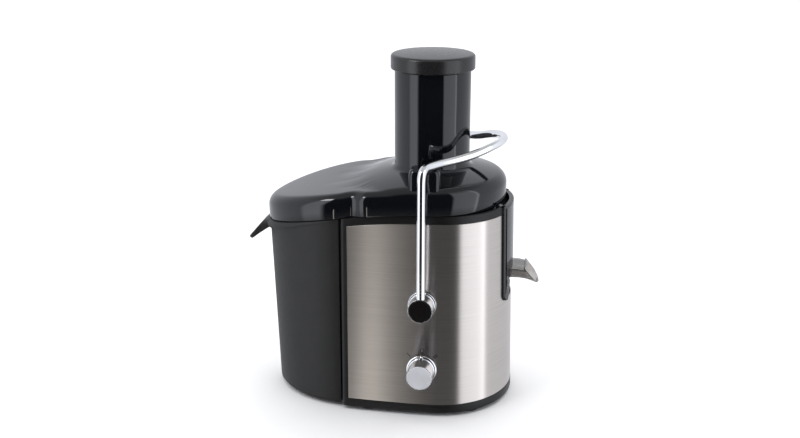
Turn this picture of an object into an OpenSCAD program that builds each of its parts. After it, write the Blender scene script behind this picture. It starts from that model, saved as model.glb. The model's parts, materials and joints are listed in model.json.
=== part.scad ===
// Centrifugal juicer: drive base with a steel skin, juice bowl with spout, spinning filter basket,
// smoky lid with a wide feed tube, pusher, chrome locking arm, speed knob and a pulp bin at the side.
// Millimetres. Z is up from the worktop, the controls face -Y and the spout faces +X.
// Sub-parts are drawn about the drive axis, and in_frame() moves them to the middle of the footprint.

/* [Base] */
// Radius of the rounded end of the base, at the bottom of the skin
base_r = 86.2; // [84:0.1:90]
// How much that radius shrinks by the top of the skin
base_draft = 4.6; // [0:0.1:6]
// Distance from the drive axis to the flat left wall
base_left = 91; // [88:0.5:94]
// Height of the rim where the lid sits, right of the drive axis
seam_top = 234; // [230:0.5:240]
// Height of the black band under the skin
skin_bottom = 14; // [12:0.5:18]
// Height of the black band over the skin
rim_band = 9; // [7:0.5:11]
// Height of the deck that carries the motor and the bowl
deck_z = 146; // [144:0.5:147]

/* [Lid and feed tube] */
// Outer diameter of the feed tube
tube_d = 84; // [80:0.5:86]
// Height of the top of the feed tube
tube_top = 378; // [340:1:400]
// Radius of the round part of the lid
lid_r = 84; // [83:0.5:86]
// Height of the lid's side wall with its rounded shoulder
lid_wall = 27; // [24:0.5:30]
// Rise of the lid from its shoulder to the feed tube
lid_crown = 13; // [8:0.5:14]
// Wall thickness of the clear plastic
lid_t = 2.5; // [2:0.1:3]

/* [Locking arm] */
// Diameter of the chrome rod
rod_d = 9; // [8:0.5:10]
// Height of the arm's pivot
pivot_z = 134.7; // [132:0.1:136]
// Distance of each leg of the arm from the middle
leg_y = 101; // [100:0.5:102]

/* [Knob] */
// Height of the speed knob
knob_z = 58; // [54:1:66]
// Diameter of the knob's grip
knob_d = 28.6; // [26:0.2:32]

/* [Pulp bin] */
// How far the bin reaches to the left of the drive axis at its rim
bin_reach = 187.5; // [180:0.5:190]
// Half width of the bin where it meets the base
bin_half = 78; // [76:0.5:79]
// Wall thickness of the bin
bin_t = 2.4; // [2:0.1:3]

/* [Basket] */
// Outer radius of the basket's top ring
basket_r = 66; // [64:0.5:67]
// Height of the grater disc
disc_z = 170.5; // [170:0.1:171]

/* [Hidden] */
$fn = 64;
axis_x = 45.5;
skin_t = 0.8;
wall_t = 2.5;
arc_x = 9;
crown_k = 2128;
tube_r = tube_d / 2;
tube_bore = tube_r - lid_t;
tube_foot = 178;
shaft_r = 4;
bore_gap = 0.02;
body_gap = 0.3;
slot_half = 38;
slot_z = 122;
duct_z = 146.2;
bin_floor = 4;
bin_foot_reach = bin_reach - 6.5;
bin_foot_half = bin_half - 1;
pillar_x = 84;
knob_face = 110;
gland = [-30, 85.2, 26];
foot_spots = [[50, 56], [50, -56], [-62, 66], [-62, -66]];
bolt_spots = [[33, 33], [-33, 33], [-33, -33], [33, -33]];
mount_spots = [[40, 40], [-40, 40], [-40, -40], [40, -40]];

// ---- Outlines seen from above, counter-clockwise ----

// Height of the joint line between base, bin and lid, which falls to the left on a long arc
function seam(x) = x > 10 ? seam_top : seam_top - pow(10 - x, 2) / 1240;

// Radius of the base's rounded end at a height
function end_r(z) = base_r - (z - skin_bottom) * base_draft / 216;

// Half width of the base at a place left of its rounded end
function side_y(r, x) = r - pow(arc_x - x, 2) / crown_k;

// Outline of the base for an end radius and a left wall
function base_plan(r, left = base_left) = concat(
    [for (a = [-90:7.5:90]) [arc_x + r * cos(a), r * sin(a)]],
    [for (i = [1:5]) let (x = arc_x - i * (left + arc_x) / 5) [x, side_y(r, x)]],
    [for (i = [5:-1:1]) let (x = arc_x - i * (left + arc_x) / 5) [x, -side_y(r, x)]]
);

// Half width of the rounded left end, a superellipse that starts at the base's left wall
function lobe_y(x, reach, half) =
    half * pow(max(0, 1 - pow((-base_left - x) / (reach - base_left), 1.8)), 1 / 1.8);

// X stations that crowd together towards the tip of the rounded left end
function lobe_xs(reach) = [for (a = [0:9:81]) -base_left - (reach - base_left) * sin(a)];

// Outline of the bin for its reach and half width
function bin_plan(reach, half, right = base_left + 1.5) = concat(
    [[-right, half]],
    [for (x = lobe_xs(reach)) if (x < -right - 1) [x, lobe_y(x, reach, half)]],
    [[-reach, 0]],
    [for (x = reverse(lobe_xs(reach))) if (x < -right - 1) [x, -lobe_y(x, reach, half)]],
    [[-right, -half]]
);
function reverse(list) = [for (i = [len(list) - 1:-1:0]) list[i]];

// Half width of the lid left of the drive axis: full, then a waist, then the lobe over the bin
function lid_side(x) =
    x > -62 ? lid_r - pow(x, 2) / 2600
    : x > -80 ? 75.8 + 6.7 * (1 + cos((-62 - x) * 10)) / 2
    : 75.8 + 2.6 * (1 - cos((-80 - x) * 15)) / 2;

// Outline of the lid
function lid_plan() = concat(
    [for (a = [-90:7.5:90]) [lid_r * cos(a), lid_r * sin(a)]],
    [for (x = [-15:-15:-60]) [x, lid_side(x)]],
    [for (x = [-65:-4:-89]) [x, lid_side(x)]],
    [for (x = lobe_xs(188.5)) if (x < -92) [x, lobe_y(x, 188.5, 78.8)]],
    [[-188.5, 0]],
    [for (x = reverse(lobe_xs(188.5))) if (x < -92) [x, -lobe_y(x, 188.5, 78.8)]],
    [for (x = [-89:4:-65]) [x, -lid_side(x)]],
    [for (x = [-60:15:-15]) [x, -lid_side(x)]]
);

// Moves every corner of an outline inwards, square to its neighbours
function inset(pts, d) = let (n = len(pts)) [
    for (i = [0:n - 1])
        let (t = pts[(i + 1) % n] - pts[(i + n - 1) % n])
        pts[i] + d * [-t[1], t[0]] / norm(t)
];

// Lifts an outline to one height
function level(pts, z) = [for (p = pts) [p[0], p[1], z]];

// Rounded rectangle about the origin
function round_rect(w, h, r) = [
    for (q = [0:3], a = [0:15:90])
        [
            (q == 0 || q == 3 ? 1 : -1) * (w / 2 - r) + r * cos(a + 90 * q),
            (q < 2 ? 1 : -1) * (h / 2 - r) + r * sin(a + 90 * q)
        ]
];

// ---- Shape helpers ----

// Moves the drive axis to its place over the footprint
module in_frame() {
    translate([axis_x, 0, 0])
        children();
}

// Solid through a stack of outlines with equal point counts, bottom first, closed about mid
module loft(rings, mid) {
    n = len(rings[0]);
    last = len(rings) - 1;
    points = concat([for (ring = rings) each ring], [mid[0], mid[1]]);
    bottom = n * (last + 1);
    sides = [
        for (k = [0:last - 1], i = [0:n - 1])
            let (j = (i + 1) % n, a = k * n, b = a + n)
            each [[a + i, b + i, b + j], [a + i, b + j, a + j]]
    ];
    floor_cap = [for (i = [0:n - 1]) [bottom, i, (i + 1) % n]];
    top_cap = [for (i = [0:n - 1]) [bottom + 1, last * n + (i + 1) % n, last * n + i]];
    polyhedron(points, concat(sides, floor_cap, top_cap), convexity = 6);
}

// Block with the base's drafted outline, moved inwards by d
module base_block(z0, z1, d, left = base_left) {
    loft(
        [level(inset(base_plan(end_r(z0), left), d), z0), level(inset(base_plan(end_r(z1), left), d), z1)],
        [[0, 0, z0], [0, 0, z1]]
    );
}

// The base's rounded end as a true cone, moved inwards by d
module end_cone(z0, z1, d) {
    translate([arc_x, 0, z0])
        cylinder(r1 = end_r(z0) - d, r2 = end_r(z1) - d, h = z1 - z0);
}

// Everything under the joint line, lowered by drop
module under_seam(drop = 0) {
    rotate([90, 0, 0])
        linear_extrude(height = 300, center = true)
            polygon(concat(
                [[140, -20], [140, seam_top - drop]],
                [for (x = [10:-15:-230]) [x, seam(x) - drop]],
                [[-230, -20]]
            ));
}

// Upright slot with rounded lower corners, seen along X
module slot_cut(half, z0, r) {
    corners = concat(
        [for (a = [180:15:270]) [-half + r + r * cos(a), z0 + r + r * sin(a)]],
        [for (a = [270:15:360]) [half - r + r * cos(a), z0 + r + r * sin(a)]],
        [[half, 250], [-half, 250]]
    );
    translate([60, 0, 0])
        rotate([90, 0, 90])
            linear_extrude(height = 60)
                polygon(corners);
}

// Cylinder along Y from y0 to y1
module y_rod(r, y0, y1, x = 0, z = 0) {
    translate([x, y0, z])
        rotate([-90, 0, 0])
            cylinder(r = r, h = y1 - y0);
}

// Ring about the drive axis
module ring(r_out, r_in, z0, z1) {
    translate([0, 0, z0])
        difference() {
            cylinder(r = r_out, h = z1 - z0);
            translate([0, 0, -1])
                cylinder(r = r_in, h = z1 - z0 + 2);
        }
}

// Children at the front and mirrored at the back
module both_sides() {
    children();
    mirror([0, 1, 0])
        children();
}

// Cuts the corners off a route, so that repeated use rounds it
function rounded(p) = concat(
    [p[0]],
    [for (i = [0:len(p) - 2]) each [p[i] * 0.75 + p[i + 1] * 0.25, p[i] * 0.25 + p[i + 1] * 0.75]],
    [p[len(p) - 1]]
);

// Round bar along a route; ref is a direction that the route never takes
module bar(route, r, sides, ref) {
    last = len(route) - 1;
    rings = [
        for (k = [0:last])
            let (
                t = route[min(k + 1, last)] - route[max(k - 1, 0)],
                u = cross(t, ref) / norm(cross(t, ref)),
                v = cross(t, u) / norm(t)
            )
            [for (i = [0:sides - 1]) route[k] + r * (cos(360 * i / sides) * u + sin(360 * i / sides) * v)]
    ];
    loft(rings, [route[0], route[last]]);
}

// ---- Drive base ----

module base_housing() {
    boss_z = 7.8;
    color([0.06, 0.06, 0.065])
        difference() {
            union() {
                housing_shell();
                for (p = foot_spots)
                    foot_boss(p, boss_z);
                both_sides()
                    y_rod(11, -82, -74, 0, pivot_z);
            }
            both_sides()
                y_rod(8 + bore_gap, -90, -70, 0, pivot_z);
            y_rod(5, -90, -78, 0, knob_z);
            y_rod(6.6, 70, 90, gland[0], gland[2]);
            for (p = foot_spots)
                translate([p[0], p[1], 0])
                    cylinder(r = 1.8, h = 28);
        }
}

module motor_deck() {
    color([0.07, 0.07, 0.075])
        difference() {
            union() {
                translate([0, 0, deck_z])
                    linear_extrude(height = 3)
                        polygon(inset(base_plan(end_r(deck_z)), skin_t + wall_t + 0.4));
                spout_pocket();
                for (p = mount_spots)
                    translate([p[0], p[1], 130])
                        cylinder(r = 6, h = deck_z - 129);
            }
            translate([0, 0, deck_z - 1])
                cylinder(r = 20 + bore_gap, h = 5);
            translate([68, -slot_half + 2.8, slot_z + 2])
                cube([40, 2 * slot_half - 5.6, 35]);
            for (p = mount_spots)
                translate([p[0], p[1], 120])
                    cylinder(r = 2, h = 24);
        }
}

// Drafted walls, open above and below, with a shallow recess for the skin
module housing_shell() {
    difference() {
        intersection() {
            base_block(4, seam_top + 2, -0.3);
            under_seam();
        }
        skin_recess();
        base_block(-1, seam_top + 5, skin_t + wall_t + 0.1, base_left - 0.1);
        slot_cut(slot_half, slot_z, 9);
    }
}

// Room for the skin between the pillars, above the lower band and under the top band
module skin_recess() {
    difference() {
        intersection() {
            translate([-pillar_x, -120, skin_bottom])
                cube([300, 240, 300]);
            under_seam(rim_band);
        }
        base_block(0, seam_top + 8, skin_t + 0.1, base_left + 5);
    }
}

// Pocket behind the slot, which leaves a hollow under the spout
module spout_pocket() {
    intersection() {
        translate([66, -slot_half + 0.8, slot_z])
            cube([40, 2 * slot_half - 1.6, deck_z - slot_z + 3]);
        end_cone(slot_z - 2, deck_z + 5, skin_t + wall_t + 0.4);
    }
}

// Screw post with a rib to the wall
module foot_boss(p, z0) {
    out = p[1] > 0 ? 1 : -1;
    translate([p[0], p[1], z0])
        cylinder(r = 5.5, h = 26);
    intersection() {
        translate([p[0] - 1.2, out > 0 ? p[1] : p[1] - 30, z0])
            cube([2.4, 30, 26]);
        base_block(2, 60, 3);
    }
}

module steel_skin() {
    color([0.72, 0.70, 0.67])
        difference() {
            intersection() {
                base_block(skin_bottom + 0.1, seam_top + 2, 0);
                under_seam(rim_band + 0.1);
                translate([-pillar_x + 0.1, -120, 0])
                    cube([300, 240, 300]);
            }
            base_block(0, seam_top + 5, skin_t, base_left + 5);
            slot_cut(slot_half, slot_z, 9);
            both_sides()
                y_rod(9, -95, -70, 0, pivot_z);
            y_rod(5, -95, -70, 0, knob_z);
            y_rod(6.6, 70, 95, gland[0], gland[2]);
        }
}

module spout_frame() {
    color([0.05, 0.05, 0.055])
        difference() {
            intersection() {
                slot_cut(slot_half - 0.1, slot_z + 0.1, 9);
                end_cone(slot_z - 5, seam_top, -3);
            }
            end_cone(slot_z - 8, seam_top + 5, skin_t + wall_t);
            intersection() {
                slot_cut(slot_half - 7, slot_z + 5.5, 6);
                translate([60, -60, 100])
                    cube([60, 120, 131.1]);
            }
        }
}

module base_plate() {
    color([0.07, 0.07, 0.075])
        difference() {
            translate([0, 0, 4.6])
                linear_extrude(height = 3)
                    polygon(inset(base_plan(base_r), 3.7));
            for (p = foot_spots)
                translate([p[0], p[1], 0])
                    cylinder(r = 1.9, h = 10);
            for (x = [-30:10:30])
                translate([x - 2, -24, 0])
                    cube([4, 48, 10]);
        }
}

module rubber_feet() {
    color([0.04, 0.04, 0.04])
        for (p = foot_spots)
            translate([p[0], p[1], 0])
                difference() {
                    cylinder(r = 13, h = 4.5);
                    translate([0, 0, -1])
                        cylinder(r = 1.9, h = 8);
                    translate([0, 0, -1])
                        cylinder(r = 4.2, h = 3.5);
                }
}

module base_screws() {
    color([0.6, 0.6, 0.62])
        for (p = foot_spots)
            translate([p[0], p[1], 0]) {
                translate([0, 0, 0.8])
                    cylinder(r = 3.6, h = 1.7);
                translate([0, 0, 2.4])
                    cylinder(r = 1.78, h = 20);
            }
}

module cord_gland() {
    color([0.04, 0.04, 0.04])
        difference() {
            union() {
                y_rod(6.5, gland[1] - 8, gland[1] + 3, gland[0], gland[2]);
                y_rod(9, gland[1] + 0.9, gland[1] + 3.4, gland[0], gland[2]);
                y_rod(8, gland[1] - 8, gland[1] - 4.2, gland[0], gland[2]);
                y_rod(5.6, gland[1] + 3, gland[1] + 10, gland[0], gland[2]);
            }
            y_rod(3.75, gland[1] - 20, gland[1] + 20, gland[0], gland[2]);
        }
}

module arm_bushes() {
    color([0.8, 0.78, 0.7])
        both_sides()
            difference() {
                union() {
                    y_rod(8, -84.4, -72, 0, pivot_z);
                    y_rod(11, -73.9, -71.4, 0, pivot_z);
                }
                y_rod(5.06, -90, -60, 0, pivot_z);
            }
}

// ---- Juice bowl and spout ----

module juice_bowl() {
    floor_z = 150;
    color([0.16, 0.16, 0.18])
        difference() {
            union() {
                translate([0, 0, floor_z])
                    cylinder(r = 73, h = 79);
                bowl_flange();
                bowl_panel();
                translate([68.3, -19.5, duct_z])
                    cube([11.6, 39, 10]);
            }
            ring(70.8, 20.2, floor_z + 2.2, 240);
            translate([0, 0, 165])
                cylinder(r = 60, h = 80);
            translate([0, 0, floor_z - 1])
                cylinder(r = 18, h = 80);
            translate([69.5, -17.5, duct_z + 1.8])
                cube([20, 35, 6.4]);
        }
}

// Plate that closes the gap between the bowl and the housing
module bowl_flange() {
    intersection() {
        translate([0, 0, 221.8])
            linear_extrude(height = 2.2)
                polygon(inset(base_plan(end_r(221)), 3.9));
        under_seam(1);
    }
}

// Curved panel that fills the slot above the spout, with a tab to the flange
module bowl_panel() {
    half = slot_half - 7.3;
    difference() {
        intersection() {
            difference() {
                end_cone(140, 231, -2.2);
                end_cone(130, 240, 0.8);
            }
            translate([60, -half, duct_z + 0.4])
                cube([60, 2 * half, 90]);
        }
        translate([80, -19.6, 140])
            cube([20, 39.2, duct_z - 129.9]);
    }
    intersection() {
        translate([78, -half + 0.1, 221.8])
            cube([16, 2 * half - 0.2, 2.2]);
        end_cone(200, 240, 0);
    }
}

// Places its children on the slanted mouth: X runs down the lip and Z runs outwards
module on_mouth() {
    translate([107.7, 0, duct_z + 10])
        rotate([0, 50.8, 0])
            children();
}

// Mouth outline with a rounded lip, seen square on
module mouth(half, low, high, thick) {
    bend = 9;
    translate([0, 0, -thick / 2])
        linear_extrude(height = thick)
            polygon(concat(
                [[low, -half]],
                [for (a = [-90:10:90]) [bend + (high - bend) * cos(a), half * sin(a)]],
                [[low, half]]
            ));
}

module juice_spout() {
    color([0.30, 0.28, 0.26])
        difference() {
            union() {
                translate([80, -19.5, duct_z])
                    cube([20.2, 39, 10]);
                hull() {
                    translate([100, -19.5, duct_z])
                        cube([0.2, 39, 10]);
                    on_mouth()
                        mouth(19.5, 0, 25.5, 1.6);
                }
            }
            translate([79, -17.7, duct_z + 1.8])
                cube([21.3, 35.4, 6.4]);
            hull() {
                translate([100, -17.7, duct_z + 1.8])
                    cube([0.2, 35.4, 6.4]);
                on_mouth()
                    translate([0, 0, 0.9])
                        mouth(17.7, 2, 23.7, 2);
            }
        }
}

module shaft_seal() {
    color([0.15, 0.15, 0.15])
        difference() {
            union() {
                translate([0, 0, deck_z])
                    cylinder(r = 20, h = 3);
                translate([0, 0, deck_z + 2])
                    cylinder(r = 9, h = 3.5);
            }
            translate([0, 0, deck_z - 1])
                cylinder(r = shaft_r + 0.08, h = 10);
        }
}

// ---- Motor ----

module motor_stator() {
    color([0.45, 0.45, 0.47])
        difference() {
            translate([0, 0, 66])
                linear_extrude(height = 40)
                    polygon(round_rect(84, 84, 12));
            translate([0, 0, 60])
                cylinder(r = 25.6, h = 50);
            for (p = bolt_spots)
                translate([p[0], p[1], 60])
                    cylinder(r = 2.1, h = 50);
        }
}

module field_windings() {
    color([0.65, 0.32, 0.12]) {
        ring(37, 27, 61, 65.9);
        ring(37, 27, 106.1, 111);
    }
}

module upper_bracket() {
    color([0.7, 0.7, 0.72])
        difference() {
            union() {
                translate([0, 0, 118])
                    linear_extrude(height = 3)
                        polygon(round_rect(92, 92, 14));
                translate([0, 0, 115])
                    cylinder(r = 14, h = 9);
                for (p = bolt_spots)
                    translate([p[0], p[1], 106.05])
                        cylinder(r = 4.5, h = 13);
            }
            translate([0, 0, 110])
                cylinder(r = 11 + bore_gap, h = 20);
            for (p = bolt_spots)
                translate([p[0], p[1], 100])
                    cylinder(r = 2.1, h = 30);
            for (p = mount_spots)
                translate([p[0], p[1], 110])
                    cylinder(r = 2.1, h = 20);
        }
}

module lower_bracket() {
    color([0.7, 0.7, 0.72])
        difference() {
            union() {
                translate([0, 0, 40])
                    linear_extrude(height = 3)
                        polygon(round_rect(84, 84, 14));
                translate([0, 0, 36])
                    cylinder(r = 14, h = 8);
                for (p = bolt_spots)
                    translate([p[0], p[1], 42])
                        cylinder(r = 4.5, h = 23.95);
                for (x = [-37, 25])
                    translate([x, -4, 42])
                        cube([12, 8, 7.9]);
            }
            translate([0, 0, 30])
                cylinder(r = 11 + bore_gap, h = 20);
            for (p = bolt_spots)
                translate([p[0], p[1], 30])
                    cylinder(r = 2.1, h = 40);
        }
}

module upper_bearing() {
    color([0.75, 0.75, 0.77])
        ring(11, shaft_r + 0.05, 116, 123);
}

module lower_bearing() {
    color([0.75, 0.75, 0.77])
        ring(11, shaft_r + 0.05, 36.5, 43.5);
}

module brush_holders() {
    color([0.75, 0.6, 0.25])
        for (side = [0, 180])
            rotate([0, 0, side])
                difference() {
                    translate([16, -5, 50])
                        cube([24, 10, 10]);
                    translate([15, -3.2, 51.8])
                        cube([23, 6.4, 6.4]);
                }
}

module carbon_brushes() {
    color([0.1, 0.1, 0.1])
        for (side = [0, 180])
            rotate([0, 0, side])
                translate([14.4, -3.1, 51.9])
                    cube([18, 6.2, 6.2]);
}

module motor_dampers() {
    color([0.08, 0.08, 0.08])
        for (p = mount_spots)
            translate([p[0], p[1], 0])
                ring(6.5, 2.1, 121.05, 129.95);
}

module motor_screws() {
    color([0.6, 0.6, 0.62])
        for (p = mount_spots)
            translate([p[0], p[1], 0]) {
                translate([0, 0, 115.5])
                    cylinder(r = 3.8, h = 2.45);
                translate([0, 0, 117])
                    cylinder(r = 1.98, h = 26);
            }
}

module stator_bolts() {
    color([0.6, 0.6, 0.62])
        for (p = bolt_spots)
            translate([p[0], p[1], 0]) {
                translate([0, 0, 37])
                    cylinder(r = 3.8, h = 2.95);
                translate([0, 0, 39])
                    cylinder(r = 2, h = 81);
            }
}

module motor_shaft() {
    color([0.8, 0.8, 0.82])
        translate([0, 0, 18])
            cylinder(r = shaft_r, h = 146);
}

module rotor_core() {
    color([0.5, 0.5, 0.52])
        difference() {
            ring(24.9, shaft_r + bore_gap, 66, 106);
            for (a = [0:30:330])
                rotate([0, 0, a])
                    translate([17, -1.5, 65])
                        cube([12, 3, 42]);
        }
}

module rotor_winding() {
    color([0.7, 0.35, 0.14]) {
        ring(22, shaft_r + bore_gap, 62.5, 65.9);
        ring(22, shaft_r + bore_gap, 106.1, 112);
    }
}

module commutator() {
    color([0.75, 0.42, 0.2])
        difference() {
            ring(14, shaft_r + bore_gap, 47, 62);
            for (a = [0:18:342])
                rotate([0, 0, a])
                    translate([12.6, -0.3, 46])
                        cube([3, 0.6, 14]);
        }
}

module cooling_fan() {
    color([0.12, 0.12, 0.13])
        difference() {
            union() {
                translate([0, 0, 21])
                    cylinder(r = 36, h = 1.8);
                translate([0, 0, 21])
                    cylinder(r = 8, h = 13);
                for (a = [0:40:320])
                    rotate([0, 0, a])
                        translate([7, -0.8, 22])
                            cube([28, 1.6, 10]);
            }
            cylinder(r = shaft_r + bore_gap, h = 60);
        }
}

module drive_coupling() {
    color([0.08, 0.08, 0.09])
        difference() {
            union() {
                translate([0, 0, 152])
                    cylinder(r = 10, h = 14);
                for (a = [0:60:300])
                    rotate([0, 0, a])
                        translate([8, -2, 152])
                            cube([4, 4, 14]);
            }
            cylinder(r = shaft_r + bore_gap, h = 164.2);
        }
}

// ---- Filter basket ----

module basket_hub() {
    color([0.09, 0.09, 0.10])
        rotate_extrude()
            polygon([
                [0, 167], [12.4, 167], [12.4, 155], [15.5, 155], [15.5, 167], [22, 167], [22, 157],
                [24, 157], [24, 167], [42, 167], [42, 164], [54, 164], [54, 166.8], [51, 166.8],
                [51, disc_z - 0.05], [0, disc_z - 0.05]
            ]);
}

module filter_mesh() {
    color([0.78, 0.78, 0.78])
        rotate_extrude()
            polygon([[51.05, 166.85], [51.85, 166.85], [62, 226.9], [61.2, 226.9]]);
}

module basket_rim() {
    color([0.09, 0.09, 0.10])
        rotate_extrude()
            polygon([[60.4, 227], [basket_r - 1, 227], [basket_r, 228], [basket_r, 232], [60.4, 232]]);
}

module grater_disc() {
    color([0.8, 0.8, 0.8])
        difference() {
            union() {
                translate([0, 0, disc_z])
                    cylinder(r = 47, h = 1);
                for (row = [0:2], a = [0:30:330])
                    rotate([0, 0, a + row * 10])
                        translate([18 + row * 11, -0.5, disc_z + 0.5])
                            cube([3, 1, 2]);
            }
            for (a = [45:90:315])
                rotate([0, 0, a])
                    translate([12, 0, disc_z - 1])
                        cylinder(r = 1.6, h = 4);
        }
}

module disc_rivets() {
    color([0.7, 0.7, 0.7])
        for (a = [45:90:315])
            rotate([0, 0, a])
                translate([12, 0, disc_z]) {
                    cylinder(r = 1.55, h = 1.05);
                    translate([0, 0, 1.02])
                        cylinder(r = 2.8, h = 1);
                }
}

// ---- Lid ----

// Height of the lid's outer face over the joint line, with the rise around the feed tube
function lid_top(x, y) = seam(x) + lid_wall + lid_crown * max(0, 1 - (x * x + y * y) / 7800);

// One ring of the lid's wall, moved inwards by d and set at a height over the joint line
function wall_ring(d, rise) = [for (p = inset(lid_plan(), d)) [p[0], p[1], seam(p[0]) + rise]];

// One ring of the lid's shoulder, at an angle of its quarter round, rising inwards
function shoulder_ring(d, top, a, r = 10) = [
    for (p = inset(lid_plan(), d + r - r * cos(a)))
        [p[0], p[1], lid_top(p[0], p[1]) - top - r + r * sin(a)]
];

// One ring of the lid's top, drawn in towards the middle
function top_ring(d, top, s) = [
    for (p = inset(lid_plan(), d + 10))
        let (x = s * (p[0] + 45) - 45, y = s * p[1])
        [x, y, lid_top(x, y) - top]
];

// Solid form of the lid, moved inwards by d all round and down by top
module lid_form(d, top, foot) {
    rings = concat(
        [wall_ring(d, foot)],
        [for (a = [0:18:90]) shoulder_ring(d, top, a)],
        [for (s = [0.85:-0.15:0.1]) top_ring(d, top, s)]
    );
    loft(rings, [[-45, 0, seam(-45) + foot], [-45, 0, lid_top(-45, 0) - top]]);
}

// Lug that the closed arm bears on
module lid_lug() {
    translate([0, -67, 248])
        hull() {
            for (x = [-10, 10], y = [-6, 6])
                translate([x, y, 0])
                    cylinder(r = 7, h = 31, $fn = 32);
            for (x = [-8, 8], y = [-4, 4])
                translate([x, y, 0])
                    cylinder(r = 6, h = 36, $fn = 32);
        }
}

module lid() {
    color([0.20, 0.22, 0.25, 0.6])
        difference() {
            union() {
                difference() {
                    lid_form(0, 0, 2 * body_gap);
                    lid_form(lid_t, lid_t, -4);
                }
                both_sides()
                    difference() {
                        lid_lug();
                        translate([-30, -90, 230])
                            cube([60, 60, 24]);
                    }
                translate([0, 0, tube_foot])
                    cylinder(r = tube_r, h = tube_top - tube_foot);
            }
            translate([0, 0, tube_foot - 1])
                cylinder(r = tube_bore, h = 300);
        }
}

// ---- Pusher ----

module pusher_body() {
    r = tube_bore - body_gap;
    foot = tube_foot + 4;
    color([0.10, 0.11, 0.13])
        difference() {
            translate([0, 0, foot])
                cylinder(r = r, h = tube_top + 2 - foot);
            translate([0, 0, foot + 2.5])
                cylinder(r = r - 2.2, h = 300);
        }
}

module pusher_cap() {
    r = 46.3;
    z0 = tube_top + 0.5;
    color([0.05, 0.05, 0.05])
        rotate_extrude()
            polygon(concat(
                [
                    [0, z0 + 1.6], [tube_bore - body_gap, z0 + 1.6], [tube_bore - body_gap, z0],
                    [r, z0], [r, z0 + 13]
                ],
                [for (a = [15:15:75]) [r - 4 + 4 * cos(a), z0 + 13 + 4 * sin(a)]],
                [[r - 4, z0 + 17], [0, z0 + 18.5]]
            ));
}

// ---- Locking arm ----

module locking_arm() {
    half = [
        [0, -leg_y, pivot_z + 3.2], [0, -leg_y, pivot_z + 60], [0, -leg_y, 262], [0, -leg_y, 288.5],
        [6, -84, 290.5], [42, -50, 291.5], [67, -34, 300], [79.5, -12, 302.5]
    ];
    route = concat(half, [for (p = reverse(half)) [p[0], -p[1], p[2]]]);
    color([0.85, 0.85, 0.87])
        bar(rounded(rounded(route)), rod_d / 2, 12, [1, 0, 0]);
}

module arm_hubs() {
    color([0.85, 0.85, 0.87])
        both_sides()
            difference() {
                union() {
                    y_rod(13.5, -105.5, -88, 0, pivot_z);
                    y_rod(15.5, -88.5, -85.4, 0, pivot_z);
                }
                y_rod(12.3, -110, -103.5, 0, pivot_z);
                y_rod(5 + bore_gap, -96, -80, 0, pivot_z);
                translate([0, -leg_y, pivot_z + 3])
                    cylinder(r = rod_d / 2 + bore_gap, h = 20);
            }
}

module hub_caps() {
    color([0.03, 0.03, 0.03])
        both_sides()
            difference() {
                y_rod(12.25, -106, -103.55, 0, pivot_z);
                translate([0, -leg_y, pivot_z + 2])
                    cylinder(r = rod_d / 2 + 0.1, h = 20);
            }
}

module pivot_pins() {
    color([0.7, 0.7, 0.72])
        both_sides() {
            y_rod(5, -95.9, -68, 0, pivot_z);
            y_rod(8, -70.8, -68, 0, pivot_z);
        }
}

// ---- Speed control ----

module speed_knob() {
    color([0.8, 0.8, 0.8])
        difference() {
            union() {
                y_rod(knob_d / 2, -knob_face, -89, 0, knob_z);
                y_rod(16.8, -90, -86.8, 0, knob_z);
            }
            y_rod(knob_d / 2 - 1, -knob_face - 1, -knob_face + 0.8, 0, knob_z);
            y_rod(3 + bore_gap, -104, -80, 0, knob_z);
            y_rod(11, -88.2, -80, 0, knob_z);
        }
}

module knob_face_disc() {
    color([0.82, 0.82, 0.82])
        difference() {
            y_rod(knob_d / 2 - 1.05, -knob_face - 0.4, -knob_face + 0.75, 0, knob_z);
            translate([-0.7, -knob_face - 1, knob_z + 6])
                cube([1.4, 1.1, 6]);
        }
}

module switch_spindle() {
    color([0.7, 0.7, 0.72])
        y_rod(3, -103.9, -62, 0, knob_z);
}

module speed_switch() {
    color([0.12, 0.12, 0.13])
        difference() {
            union() {
                translate([-14, -78, knob_z - 12])
                    cube([28, 22, 24]);
                y_rod(6.5, -81.6, -77, 0, knob_z);
            }
            y_rod(3.06, -90, -61.5, 0, knob_z);
        }
}

module interlock_switch() {
    color([0.1, 0.1, 0.1]) {
        translate([12.5, -76.5, 126])
            cube([17, 8, 12]);
        translate([8.4, -70.4, 133])
            cube([4.2, 1.9, 1.5]);
    }
}

module terminal_block() {
    color([0.85, 0.85, 0.8])
        difference() {
            translate([-76, 22, 7.65])
                cube([16, 30, 13]);
            for (y = [27, 37, 47])
                translate([-68, y, 12])
                    cylinder(r = 2.2, h = 20);
        }
}

module internal_leads() {
    to_switch = [
        [-66, 32, 21], [-66, 32, 30], [-66, 10, 34], [-64, -20, 38], [-56, -50, 48], [-34, -62, 56],
        [-14.6, -66, 58]
    ];
    to_motor = [[14.6, -66, 58], [30, -64, 60], [50, -52, 66], [52, -20, 72], [48, 0, 80], [42.6, 0, 84]];
    to_interlock = [[10, -70, 70.6], [12, -70, 80], [20, -72, 100], [22, -72, 118], [22, -72, 125.6]];
    color([0.15, 0.15, 0.16]) {
        bar(rounded(rounded(to_switch)), 1.4, 8, [-1, -1, 1]);
        bar(rounded(rounded(to_motor)), 1.4, 8, [0, 0, 1]);
        bar(rounded(rounded(to_interlock)), 1.2, 8, [1, 0, 0]);
    }
}

// ---- Pulp bin ----

module pulp_bin() {
    color([0.16, 0.16, 0.165])
        union() {
            difference() {
                intersection() {
                    union() {
                        bin_block(bin_floor, 240, 0);
                        bin_lip();
                        bin_handle();
                    }
                    under_seam();
                }
                bin_block(bin_floor + bin_t, 260, bin_t);
            }
            for (y = [-30, 30])
                translate([-150, y - 3, 0])
                    cube([46, 6, bin_floor + 1]);
        }
}

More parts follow.
